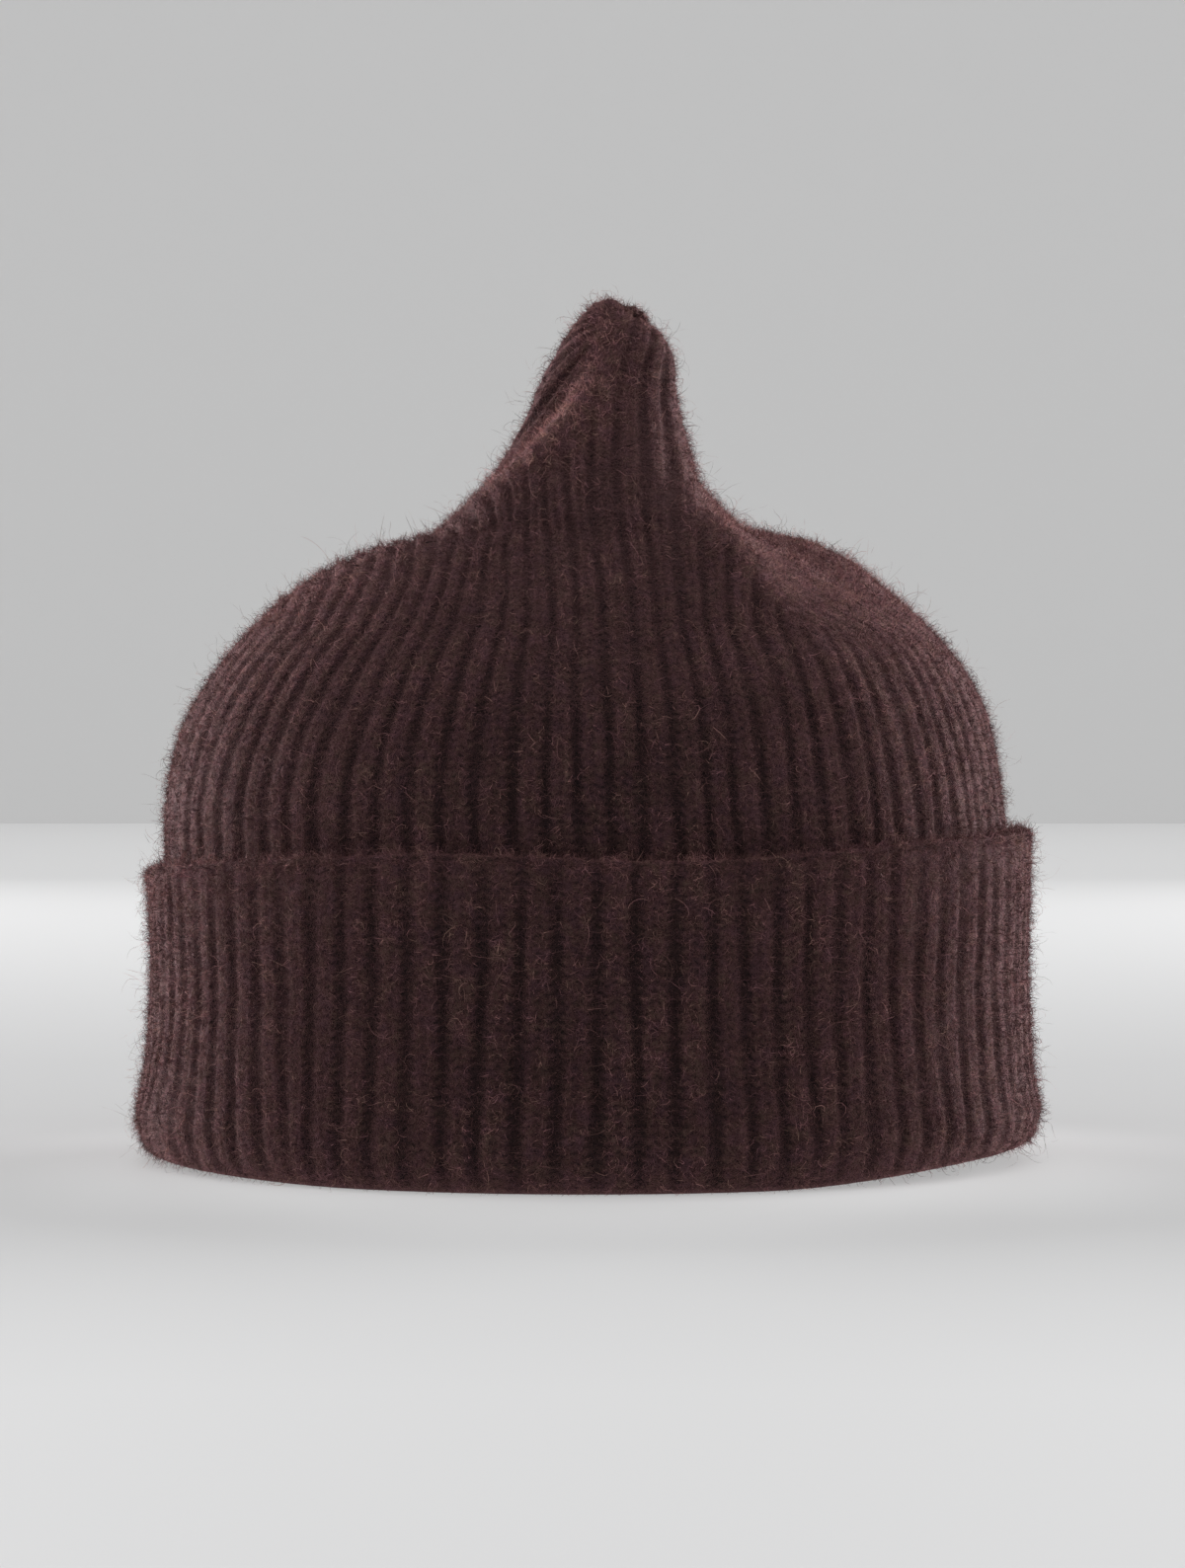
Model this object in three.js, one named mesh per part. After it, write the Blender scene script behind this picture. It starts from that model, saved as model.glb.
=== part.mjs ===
// A brushed rib-knit beanie with a turned-up cuff and a drawn-up peak, standing on its folded edge.
// Millimetres, +Z up. The front faces -Y. Azimuth is in degrees from the front towards +X.
import * as THREE from 'three';

// Driving dimensions
const hatWidth = 190; // over the ribs, at the foot of the cuff
const depthShare = 0.94; // the plan's depth as a share of its width
const ribCount = 80; // ribs round the head
const knitWall = 3.4; // thickness of one leaf of the knitting
const crownRibDepth = 1.2; // from a rib's top to its groove
const cuffRibDepth = 1.4;
const pieceGap = 0.3; // kept between neighbouring pieces
const edgeRoll = 2; // height of the bound-off edge
const parallelRadius = 64.5; // above this radius of the dome the ribs stop narrowing and run parallel
const crownCrowding = 1.7; // degrees by which the crown's front ribs stand closer than even ones
const cuffSpreading = 1.1; // degrees by which the cuff's front ribs stand wider than even ones
const tipFadeRadius = 9; // ribs melt into the felted tip below this radius

// Facets
const ribColumns = 2 * ribCount; // a column on each rib and one in each groove
const peakColumns = 88;
const plainColumns = 60; // round the smooth inner faces
const peakLevel = 15; // the crown section from which the peak's columns take over
const probe = 0.02; // step for the surface's slopes, in sections and degrees

// The crown's sections, from the fold at the foot to the tip
const crownSections = [
  { z: 3.9, halfWidth: 87.4, centreX: 0 },
  { z: 32, halfWidth: 87.6, centreX: 0 },
  { z: 60, halfWidth: 88.0, centreX: -0.2 },
  { z: 74, halfWidth: 87.6, centreX: -0.8 },
  { z: 86, halfWidth: 85.6, centreX: -0.9 },
  { z: 95, halfWidth: 82.4, centreX: -0.4 },
  { z: 103, halfWidth: 77.6, centreX: 0 },
  { z: 110, halfWidth: 71.4, centreX: 0.1 },
  { z: 116, halfWidth: 64.8, centreX: 0.4 },
  { z: 121, halfWidth: 58.8, centreX: 1 },
  { z: 125, halfWidth: 52.8, centreX: 2 },
  { z: 128, halfWidth: 45.4, centreX: 3 },
  { z: 130.4, halfWidth: 37, centreX: 4.2 },
  { z: 133, halfWidth: 31.2, centreX: 2.6 },
  { z: 136.5, halfWidth: 26.9, centreX: 1.9 },
  { z: 141, halfWidth: 22.6, centreX: 0.8 },
  { z: 147, halfWidth: 19.5, centreX: 1.6 },
  { z: 154, halfWidth: 16.6, centreX: 2.8 },
  { z: 161, halfWidth: 14.4, centreX: 3.6 },
  { z: 167, halfWidth: 12.6, centreX: 4.9 },
  { z: 172, halfWidth: 10.2, centreX: 5.3 },
  { z: 176, halfWidth: 7.1, centreX: 5 },
  { z: 178.8, halfWidth: 3.6, centreX: 4.2 },
  { z: 180.4, halfWidth: 0, centreX: 4.2 },
];
const innerLevels = [0, 1, 3, 5, 7, 9, 10, 11, 12, 13, 14, 15, 17, 19]; // sections that the inner face uses
const innerTop = { x: 4.4, z: 171 }; // where the hollow of the peak ends

// The folds of the dome and the peak. Height is out of the cloth in mm, below zero for a valley.
const folds = {
  rightRidge: [
    { z: 112, azimuth: 36, height: 0, width: 6 },
    { z: 118, azimuth: 36, height: 1, width: 5.5 },
    { z: 124, azimuth: 37, height: 2.2, width: 5 },
    { z: 129, azimuth: 40, height: 2.8, width: 5 },
    { z: 134, azimuth: 53, height: 2.4, width: 5 },
    { z: 142, azimuth: 70, height: 1.5, width: 4 },
    { z: 150, azimuth: 85, height: 0.7, width: 4 },
    { z: 158, azimuth: 95, height: 0, width: 4 },
  ],
  rightHollow: [
    { z: 114, azimuth: 60, height: 0, width: 9 },
    { z: 120, azimuth: 60, height: -1.6, width: 9 },
    { z: 126, azimuth: 64, height: -3.6, width: 9 },
    { z: 131, azimuth: 76, height: -4.2, width: 9 },
    { z: 137, azimuth: 96, height: -2.2, width: 8 },
    { z: 145, azimuth: 106, height: -0.8, width: 7 },
    { z: 152, azimuth: 110, height: 0, width: 7 },
  ],
  rightShoulder: [
    { z: 118, azimuth: 104, height: 0, width: 14 },
    { z: 124, azimuth: 104, height: 1.6, width: 14 },
    { z: 128, azimuth: 106, height: 2.2, width: 12 },
    { z: 131, azimuth: 112, height: 1, width: 10 },
    { z: 134, azimuth: 118, height: 0, width: 10 },
  ],
  leftRidge: [
    { z: 132, azimuth: -88, height: 0, width: 4.5 },
    { z: 138, azimuth: -80, height: 0.5, width: 4.2 },
    { z: 142, azimuth: -68, height: 1.6, width: 4 },
    { z: 147, azimuth: -52, height: 2.3, width: 3.8 },
    { z: 152, azimuth: -37, height: 2.3, width: 3.6 },
    { z: 158, azimuth: -25, height: 1.9, width: 3.3 },
    { z: 165, azimuth: -15, height: 1.3, width: 3 },
    { z: 172, azimuth: -12, height: 0.6, width: 2.6 },
    { z: 177, azimuth: -12, height: 0, width: 2.4 },
  ],
  leftDent: [
    { z: 139, azimuth: -96, height: 0, width: 6.5 },
    { z: 146, azimuth: -78, height: -1.6, width: 6.5 },
    { z: 152, azimuth: -62, height: -2.5, width: 6 },
    { z: 158, azimuth: -51, height: -2.3, width: 5.5 },
    { z: 165, azimuth: -42, height: -1.4, width: 5 },
    { z: 171, azimuth: -38, height: 0, width: 4.5 },
  ],
  tipPit: [
    { z: 172, azimuth: -24, height: 0, width: 2 },
    { z: 175.5, azimuth: -24, height: -1.3, width: 2.2 },
    { z: 178.5, azimuth: -24, height: 0, width: 2 },
  ],
  gatherSeat: [
    { z: 173, azimuth: 84, height: 0, width: 3 },
    { z: 176, azimuth: 84, height: -0.6, width: 3 },
    { z: 178, azimuth: 84, height: -1.4, width: 3 },
    { z: 179.5, azimuth: 84, height: 0, width: 3 },
  ],
};

// The cuff's cross-section at the side, counter-clockwise from the flat that it stands on.
// ribs is the share of the rib depth there. A point with top set lies at the edge's height.
const cuffSection = [
  { halfWidth: 89.4, z: 0, ribs: 0, ribbed: true },
  { halfWidth: 91.2, z: 0.8, ribs: 0.2, ribbed: true },
  { halfWidth: 93, z: 3, ribs: 0.7, ribbed: true },
  { halfWidth: hatWidth / 2 - cuffRibDepth / 2, z: 9, ribs: 1, ribbed: true },
  { halfWidth: 93, z: 19, ribs: 1, ribbed: true },
  { halfWidth: 91.7, z: 36, ribs: 1, ribbed: true },
  { halfWidth: 92.4, top: true, ribs: 0.7, ribbed: true },
  { halfWidth: 89.4, top: true },
  { halfWidth: 89.1, z: 36 },
  { halfWidth: 89.9, z: 19 },
  { halfWidth: 90.8, z: 10 },
  { halfWidth: 90.2, z: 5.8 },
  { halfWidth: 88.4, z: 3.6 },
  { halfWidth: 84.8, z: 3.6 },
  { halfWidth: 84.2, z: 2.2 },
  { halfWidth: 85.4, z: 0.6 },
  { halfWidth: 87.4, z: 0 },
];

// Height of the bound-off edge round the hat
const cuffTop = [
  { azimuth: -90, z: 60.2 },
  { azimuth: -70, z: 61.4 },
  { azimuth: -55, z: 62.8 },
  { azimuth: -38, z: 64.4 },
  { azimuth: -20, z: 65.3 },
  { azimuth: 0, z: 64.2 },
  { azimuth: 12, z: 63.9 },
  { azimuth: 30, z: 65.2 },
  { azimuth: 50, z: 67.2 },
  { azimuth: 75, z: 68.8 },
  { azimuth: 100, z: 68.4 },
  { azimuth: 140, z: 66 },
  { azimuth: 180, z: 64.4 },
  { azimuth: 225, z: 62 },
  { azimuth: 270, z: 60.2 },
];

// The bound-off edge: an oval roll
const edge = { halfWidth: 91, halfThick: 1.7, sides: 6 };

// The fold at the foot lies up to this much off the table on the right. The lift starts where the sine
// of the azimuth is startsAt, and has faded out fadesAt mm up the cuff.
const footLift = { height: 1.2, startsAt: 0.15, fadesAt: 19 };

// The nub of rib ends at the tip
const gather = { x: 11, y: -0.8, z: 178.1, radius: 2.5, height: 2.8, lobes: 6, lobeDepth: 0.35, lean: 30 };

const radians = THREE.MathUtils.degToRad;
const smoothstep = THREE.MathUtils.smoothstep;

function wrap(degrees) {
  return THREE.MathUtils.euclideanModulo(degrees + 180, 360) - 180;
}

// A column of a table at a place between its rows
function readTable(rows, key, at, column) {
  const above = rows.findIndex((row) => row[key] >= at);
  if (above === 0) return rows[0][column];
  if (above < 0) return rows[rows.length - 1][column];
  const low = rows[above - 1];
  const high = rows[above];
  const share = (at - low[key]) / (high[key] - low[key]);
  return low[column] + (high[column] - low[column]) * share;
}

// Distance in mm along the section between two azimuths
function arcBetween(azimuth, other, radius) {
  return radians(wrap(azimuth - other)) * radius;
}

function foldRelief(azimuth, z, radius) {
  let relief = 0;
  for (const rows of Object.values(folds)) {
    const away = arcBetween(azimuth, readTable(rows, 'z', z, 'azimuth'), radius);
    const width = readTable(rows, 'z', z, 'width');
    relief += readTable(rows, 'z', z, 'height') * Math.exp(-((away / width) ** 2));
  }
  return relief;
}

// A round rib with a narrow groove each side: 1 on the rib, 0 in the groove
function ribWave(phase) {
  return Math.abs(Math.cos(Math.PI * phase));
}

// The dome's ribs run up the front and the back in two panels, which meet along the two ridges
function crownRibs(azimuth, z, radius) {
  const left = readTable(folds.leftRidge, 'z', z, 'azimuth');
  const right = readTable(folds.rightRidge, 'z', z, 'azimuth');
  const onFront = azimuth > left && azimuth < right;
  const fromMiddle = onFront ? azimuth : wrap(azimuth - 180);
  const evened = fromMiddle + crownCrowding * Math.sin(radians(2 * fromMiddle));
  const narrowing = Math.min(1, radius / parallelRadius);
  const toRidge = Math.min(
    Math.abs(arcBetween(azimuth, left, radius)),
    Math.abs(arcBetween(azimuth, right, radius)),
  );
  const ribPitch = (2 * Math.PI * parallelRadius) / ribCount;
  const meeting = narrowing < 1 ? smoothstep(toRidge, 0, ribPitch) : 1;
  const melting = smoothstep(radius, 0, tipFadeRadius);
  return (ribWave((evened * narrowing * ribCount) / 360) - 0.5) * meeting * melting;
}

const crownProfile = new THREE.CatmullRomCurve3(
  crownSections.map((row) => new THREE.Vector3(row.halfWidth, row.centreX, row.z)),
  false,
  'catmullrom',
  0.5,
);
const lastLevel = crownSections.length - 1;

function crownMean(azimuth, level) {
  const section = crownProfile.getPoint(level / lastLevel);
  const turn = radians(azimuth);
  return new THREE.Vector3(
    section.y + section.x * Math.sin(turn),
    -section.x * depthShare * Math.cos(turn),
    section.z,
  );
}

// A point of the crown, out of its mean surface by the folds, its ribs and a further distance
function crownPoint(azimuth, level, ribDepth, further) {
  const middle = crownMean(azimuth, level);
  const around = crownMean(azimuth + probe, level).sub(crownMean(azimuth - probe, level));
  const upward = crownMean(azimuth, level + probe).sub(crownMean(azimuth, Math.max(0, level - probe)));
  const outward = around.cross(upward).normalize();
  const radius = crownProfile.getPoint(level / lastLevel).x;
  const relief = foldRelief(wrap(azimuth), middle.z, radius);
  const ribs = ribDepth > 0 ? ribDepth * crownRibs(wrap(azimuth), middle.z, radius) : 0;
  return middle.addScaledVector(outward, relief + ribs + further);
}

// Where a rib or groove of an even count stands once the knitting is drawn closer or wider in front
function crowded(azimuth, degrees) {
  return azimuth + degrees * Math.sin(radians(2 * azimuth));
}

function ring(columns, place) {
  return Array.from({ length: columns }, (_, column) => place((column * 360) / columns));
}

// Triangles between two rings that may have different counts of points
function joinRings(low, high, index, lowStart, highStart) {
  let i = 0;
  let j = 0;
  while (i < low || j < high) {
    const stepLow = j >= high || (i < low && (i + 0.5) / low <= (j + 0.5) / high);
    const a = lowStart + (i % low);
    const b = highStart + (j % high);
    if (stepLow) {
      index.push(a, lowStart + ((i + 1) % low), b);
      i += 1;
    } else {
      index.push(a, highStart + ((j + 1) % high), b);
      j += 1;
    }
  }
}

function joinPoint(point, start, count, index, opens) {
  for (let k = 0; k < count; k += 1) {
    const here = start + k;
    const next = start + ((k + 1) % count);
    if (opens) index.push(point, next, here);
    else index.push(here, next, point);
  }
}

// A closed body through rings of points, either round on itself or from a point to a point
function skin(rings, isLoop) {
  const points = rings.flat();
  const starts = [];
  rings.reduce((start, row) => {
    starts.push(start);
    return start + row.length;
  }, 0);
  const index = [];
  const last = isLoop ? rings.length : rings.length - 1;
  for (let k = 0; k < last; k += 1) {
    const next = (k + 1) % rings.length;
    const [low, high] = [rings[k].length, rings[next].length];
    if (low === 1) joinPoint(starts[k], starts[next], high, index, true);
    else if (high === 1) joinPoint(starts[next], starts[k], low, index, false);
    else joinRings(low, high, index, starts[k], starts[next]);
  }
  const geometry = new THREE.BufferGeometry().setFromPoints(points);
  geometry.setIndex(index);
  geometry.computeVertexNormals();
  return geometry;
}

function knit(colour) {
  return new THREE.MeshStandardMaterial({ color: colour, roughness: 0.95, metalness: 0 });
}

function piece(name, geometry, material) {
  const mesh = new THREE.Mesh(geometry, material);
  mesh.name = name;
  return mesh;
}

function makeCrown() {
  const outer = [];
  for (let level = 0; level < lastLevel; level += 1) {
    if (level === 1) continue; // hidden behind the cuff, where the wall is straight
    const columns = level < peakLevel ? ribColumns : peakColumns;
    const crowding = level < peakLevel ? -crownCrowding : 0;
    outer.push(ring(columns, (at) => crownPoint(crowded(at, crowding), level, crownRibDepth, 0)));
  }
  const inner = innerLevels.map((level) =>
    ring(plainColumns, (at) => crownPoint(at, level, 0, -knitWall)),
  );
  for (const point of [...inner[0], ...outer[0]]) {
    const azimuth = THREE.MathUtils.radToDeg(Math.atan2(point.x, -point.y / depthShare));
    point.z = crownSections[0].z + liftAt(azimuth, crownSections[0].z);
  }
  const tip = crownMean(0, lastLevel);
  const hollowEnd = new THREE.Vector3(innerTop.x, 0, innerTop.z);
  return skin([[hollowEnd], ...inner.reverse(), ...outer, [tip]], false);
}

function cuffTopAt(azimuth) {
  return readTable(cuffTop, 'azimuth', THREE.MathUtils.euclideanModulo(azimuth + 90, 360) - 90, 'z');
}

function liftAt(azimuth, z) {
  const rightwards = smoothstep(Math.sin(radians(azimuth)), footLift.startsAt, 1);
  return footLift.height * rightwards * (1 - smoothstep(z, 0, footLift.fadesAt));
}

function makeCuff() {
  const rings = cuffSection.map((row) => {
    const columns = row.ribbed ? ribColumns : plainColumns;
    return ring(columns, (at) => {
      const rib = row.ribbed ? (ribWave((at * ribCount) / 360) - 0.5) * cuffRibDepth * row.ribs : 0;
      const azimuth = crowded(at, cuffSpreading);
      const turn = radians(azimuth);
      const radius = row.halfWidth + rib;
      const z = row.top ? cuffTopAt(azimuth) - edgeRoll - pieceGap : row.z + liftAt(azimuth, row.z);
      return new THREE.Vector3(radius * Math.sin(turn), -radius * depthShare * Math.cos(turn), z);
    });
  });
  return skin(rings, true);
}

function makeCuffEdge() {
  const rings = Array.from({ length: edge.sides }, (_, side) => {
    const tilt = (2 * Math.PI * side) / edge.sides;
    return ring(plainColumns, (azimuth) => {
      const turn = radians(azimuth);
      const radius = edge.halfWidth + edge.halfThick * Math.cos(tilt);
      const z = cuffTopAt(azimuth) + (edgeRoll / 2) * (Math.sin(tilt) - 1);
      return new THREE.Vector3(radius * Math.sin(turn), -radius * depthShare * Math.cos(turn), z);
    });
  });
  return skin(rings, true);
}

function makeTipGather() {
  const belly = [0.7, 1, 0.75]; // radius shares at a quarter, half and three quarters of the height
  const rings = belly.map((share, row) =>
    ring(2 * gather.lobes, (azimuth) => {
      const turn = radians(azimuth);
      const lobe = gather.lobeDepth * Math.cos(turn * gather.lobes);
      const radius = (gather.radius + lobe) * share;
      const z = gather.height * ((row + 1) / (belly.length + 1) - 0.5);
      return new THREE.Vector3(radius * Math.sin(turn), -radius * Math.cos(turn), z);
    }),
  );
  const foot = new THREE.Vector3(0, 0, -gather.height / 2);
  const head = new THREE.Vector3(0, 0, gather.height / 2);
  return skin([[foot], ...rings, [head]], false);
}

const hat = new THREE.Group();
hat.add(piece('crown', makeCrown(), knit(0x3f2b2c)));
hat.add(piece('cuff', makeCuff(), knit(0x3a2728)));
hat.add(piece('cuff_edge', makeCuffEdge(), knit(0x4a3334)));
const tipGather = piece('tip_gather', makeTipGather(), knit(0x2f2021));
tipGather.position.set(gather.x, gather.y, gather.z);
tipGather.rotation.y = radians(gather.lean);
hat.add(tipGather);

export default hat;
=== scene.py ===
# A brushed rib-knit beanie with a turned-up cuff and a drawn-up peak, standing on its folded edge.
# Tables and settings are in millimetres and degrees. Azimuth 0 is the front (-Y) and grows towards +X.
import math

import bpy
import numpy as np
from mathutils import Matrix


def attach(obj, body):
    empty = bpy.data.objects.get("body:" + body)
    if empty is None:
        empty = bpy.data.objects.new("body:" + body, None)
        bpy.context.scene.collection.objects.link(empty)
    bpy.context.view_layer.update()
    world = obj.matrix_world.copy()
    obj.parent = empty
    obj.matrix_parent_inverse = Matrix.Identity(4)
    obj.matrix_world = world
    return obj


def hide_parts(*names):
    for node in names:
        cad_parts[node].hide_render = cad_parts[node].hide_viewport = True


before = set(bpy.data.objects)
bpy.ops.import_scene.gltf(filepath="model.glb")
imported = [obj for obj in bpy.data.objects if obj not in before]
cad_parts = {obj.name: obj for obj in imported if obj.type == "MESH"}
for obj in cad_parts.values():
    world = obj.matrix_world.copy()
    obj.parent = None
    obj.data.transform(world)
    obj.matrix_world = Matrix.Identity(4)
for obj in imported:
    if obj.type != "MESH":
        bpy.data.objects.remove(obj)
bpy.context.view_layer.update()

draw = np.random.default_rng(41)
metre = 0.001  # one millimetre in metres

hat = {
    "depthShare": 0.94,  # the plan's depth as a share of its width
    "ribCount": 80,
    "columnsPerRib": 8,
    "wall": 3.4,
    "course": 1.8,  # height of one row of stitches
    "parallelRadius": 72,  # above this radius of the dome the ribs run parallel
    "tipFade": 9,  # ribs melt into the felted tip below this radius
    "flankColumns": 0.028,  # how far columns move towards the middle of a rib's flank
    "liftRight": (3.2, 0.38),  # how far the foot lies off the table at a side, and how far out this starts
    "liftLeft": (0.9, 0.5),
    "liftHeight": 21,
}

# One row for each section of the crown, from the fold at the foot to the tip: z, half width, middle x,
# and how far the front panel stands forward, where it runs up into the peak on an even slope
crownSections = np.array([
    (3.9, 87.4, 0, 0), (32, 87.6, 0, 0), (60, 88.0, -0.2, 0), (74, 87.6, -0.8, 0), (86, 85.6, -0.9, 0),
    (95, 82.4, -0.4, 0), (103, 77.6, 0, 0), (110, 71.4, 0.1, 0.6), (116, 64.8, 0.4, 1.9),
    (120.7, 58.8, 1, 2.9), (124.4, 52.8, 2, 4.8), (127.2, 45.4, 3, 8.6), (129.8, 37, 4.2, 13.6),
    (133, 31.2, 2.6, 16), (136.5, 26.9, 1.9, 15.9), (141, 22.6, 0.8, 14.4), (147, 19.5, 1.6, 10.3),
    (154, 16.6, 2.8, 5.7), (161, 14.4, 3.6, 2.1), (167, 12.6, 4.9, 0.4), (172, 10.2, 5.3, 0),
    (176, 7.1, 5, 0), (178.8, 3.6, 4.2, 0), (180.4, 0, 4.2, 0),
])
# The front panel lies flat between the two ridges: how square it gets where it stands this far forward,
# and over how many degrees it falls away beside the ridges
frontPanel = {"squareness": 1.3, "squareAt": 14, "before": 8, "besideLeft": 26, "besideRight": 17}
lastSection = len(crownSections) - 1

# Folds of the dome and the peak, row by row: z, azimuth, height out of the cloth, width
folds = {
    "rightRidge": [
        (110, 35, 0, 6), (117, 33, 0.9, 5), (124, 30.5, 1.9, 4.5), (129, 32, 2.1, 4),
        (132, 38, 1.5, 4), (136, 52, 1, 4), (142, 71, 0.6, 4), (150, 86, 0.3, 4), (158, 95, 0, 4),
    ],
    "rightHollow": [
        (114, 60, 0, 9), (120, 60, -1.2, 9), (126, 64, -2.6, 9), (131, 78, -3, 9),
        (137, 98, -1.8, 8), (145, 106, -0.8, 7), (152, 110, 0, 7),
    ],
    "rightShoulder": [
        (118, 104, 0, 14), (124, 104, 2, 14), (128, 106, 3.1, 12), (131, 112, 2, 10), (134, 118, 0.4, 10),
    ],
    "leftRidge": [
        (130, -84, 0, 5.5), (135, -70, 0.5, 5.2), (140, -54, 1.6, 5.6), (145, -40, 2.2, 5.4),
        (150, -27, 2.5, 5.2), (156, -15, 2.3, 4.8), (162, -8, 1.7, 4.2), (167, -6, 1, 3.6),
        (172, -9, 0.5, 3), (177, -14, 0, 2.4),
    ],
    "leftDent": [
        (137, -92, 0, 6), (143, -76, -0.8, 6), (149, -60, -1.9, 5.5), (155, -48, -2, 5),
        (163, -38, -1.3, 4.5), (170, -34, 0, 4),
    ],
    "tipPit": [(172, -24, 0, 2), (175.5, -24, -1.3, 2.2), (178.5, -24, 0, 2)],
    "gatherSeat": [(173, 84, 0, 3), (176, 84, -0.6, 3), (178, 84, -1.4, 3), (179.5, 84, 0, 3)],
}


def smoothstep(value, low, high):
    share = np.clip((value - low) / (high - low), 0, 1)
    return share * share * (3 - 2 * share)


def wrap(degrees):
    return (degrees + 180) % 360 - 180


def unit(vectors):
    return vectors / np.maximum(np.linalg.norm(vectors, axis=-1, keepdims=True), 1e-12)


def lengthAlong(path):
    # how far along the path each of its points lies
    return np.concatenate([[0], np.cumsum(np.linalg.norm(np.diff(path, axis=0), axis=1))])


def tableAt(table, at):
    return np.interp(at, table[:, 0], table[:, 1])


def ribsIn(degrees):
    return degrees * hat["ribCount"] / 360


def roundPlan(radius, turn, z):
    return np.stack([radius * np.sin(turn), -radius * hat["depthShare"] * np.cos(turn), z], -1)


def throughRows(rows, level):
    # a smooth curve through the rows of a table, one row a unit of level
    padded = np.vstack([2 * rows[0] - rows[1], rows, 2 * rows[-1] - rows[-2]])
    low = np.clip(np.floor(level).astype(int), 0, len(rows) - 2)
    t = (level - low)[..., None]
    a, b, c, d = padded[low], padded[low + 1], padded[low + 2], padded[low + 3]
    squared = 2 * a - 5 * b + 4 * c - d
    cubed = 3 * b - a - 3 * c + d
    return 0.5 * (2 * b + (c - a) * t + squared * t ** 2 + cubed * t ** 3)


def foldAt(name, z):
    rows = np.array(folds[name], float)
    return [np.interp(z, rows[:, 0], rows[:, column]) for column in (1, 2, 3)]


def besideFold(name, azimuth, z, radius):
    # how far from a fold a place lies, with the fold's height and width there
    middle, height, width = foldAt(name, z)
    return np.radians(wrap(azimuth - middle)) * radius, height, width


def foldRelief(azimuth, z, radius):
    relief = np.zeros_like(z)
    for name in folds:
        away, height, width = besideFold(name, azimuth, z, radius)
        relief += height * np.exp(-((away / width) ** 2))
    return relief


# Painted highlight where light from above falls on the crown's shoulders and near its tip: azimuth, z,
# their widths, how much paler
highlightSpots = [(-72, 117, 34, 12, 0.3), (-30, 175, 75, 7, 0.35), (84, 121, 26, 8, 0.1)]
# Painted highlight along the ridges, where they catch the side lamps: how much paler they are for each
# millimetre of their height, and over how many times their width
ridgeHighlights = {"leftRidge": 0.36, "rightRidge": 0.12}
ridgeHighlightWidth = 1.8


def paintedHighlight(azimuth, z, radius):
    # painted highlight: along its ridges and on its shoulders the cloth is made paler where the light
    # catches it
    paintedLight = np.zeros_like(z)
    for middle, height, wide, tall, strength in highlightSpots:
        paintedLight += strength * np.exp(-((wrap(azimuth - middle) / wide) ** 2) - ((z - height) / tall) ** 2)
    for name, strength in ridgeHighlights.items():
        away, height, width = besideFold(name, azimuth, z, radius)
        paintedLight += strength * height * np.exp(-((away / (ridgeHighlightWidth * width)) ** 2))
    return paintedLight


# Waves in which the ribs stray: degrees, waves round the hat, millimetres up for a radian, start in radians
strayWaves = [(0.3, 6, 37, 0), (0.24, 17, 31, 1.3), (0.17, 31, -19, 4.1)]


def unevenRibs(azimuth, z):
    # degrees by which a rib strays from its even place
    turn = np.radians(azimuth)
    return sum(far * np.sin(waves * turn + z / rise + start) for far, waves, rise, start in strayWaves)


def softUnevenness(azimuth, z, depth):
    # broad shallow waves of a cloth that nothing holds flat
    turn = np.radians(azimuth)
    broad = np.sin(5 * turn + z / 17 + 0.6) * np.sin(z / 23 - 2 * turn)
    return depth * (broad + 0.5 * np.sin(13 * turn - z / 11 + 2) * np.sin(z / 7 + 9 * turn))


# A rib across its width: 1 on top, 0 in the groove, with a faint line down its middle
rib = {
    "groove": 0.25, "grooveVaries": 0.25, "depth": 0.84, "depthVaries": 0.16,
    "rounding": 0.2, "middleLine": 0.34, "middleWidth": 0.09,
    "mean": 0.6,  # the height on a rib that lies on the cloth's mean surface
}


def ribHeight(phase, azimuth, z):
    fromMiddle = np.abs(phase - np.round(phase))
    turn = np.radians(azimuth)
    vary = np.sin(23 * turn + z / 9 + 3) * np.sin(37 * turn - z / 13) + 0.6 * np.sin(11 * turn - z / 5)
    groove = rib["groove"] * (1 - rib["grooveVaries"] * vary)
    depth = rib["depth"] + rib["depthVaries"] * vary
    sunk = depth * np.exp(-(((0.5 - fromMiddle) / groove) ** 2))
    rounded = 1 - rib["rounding"] * (2 * fromMiddle) ** 2
    line = rib["middleLine"] * np.exp(-((fromMiddle / rib["middleWidth"]) ** 2))
    return (1 - sunk) * rounded - line


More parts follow.
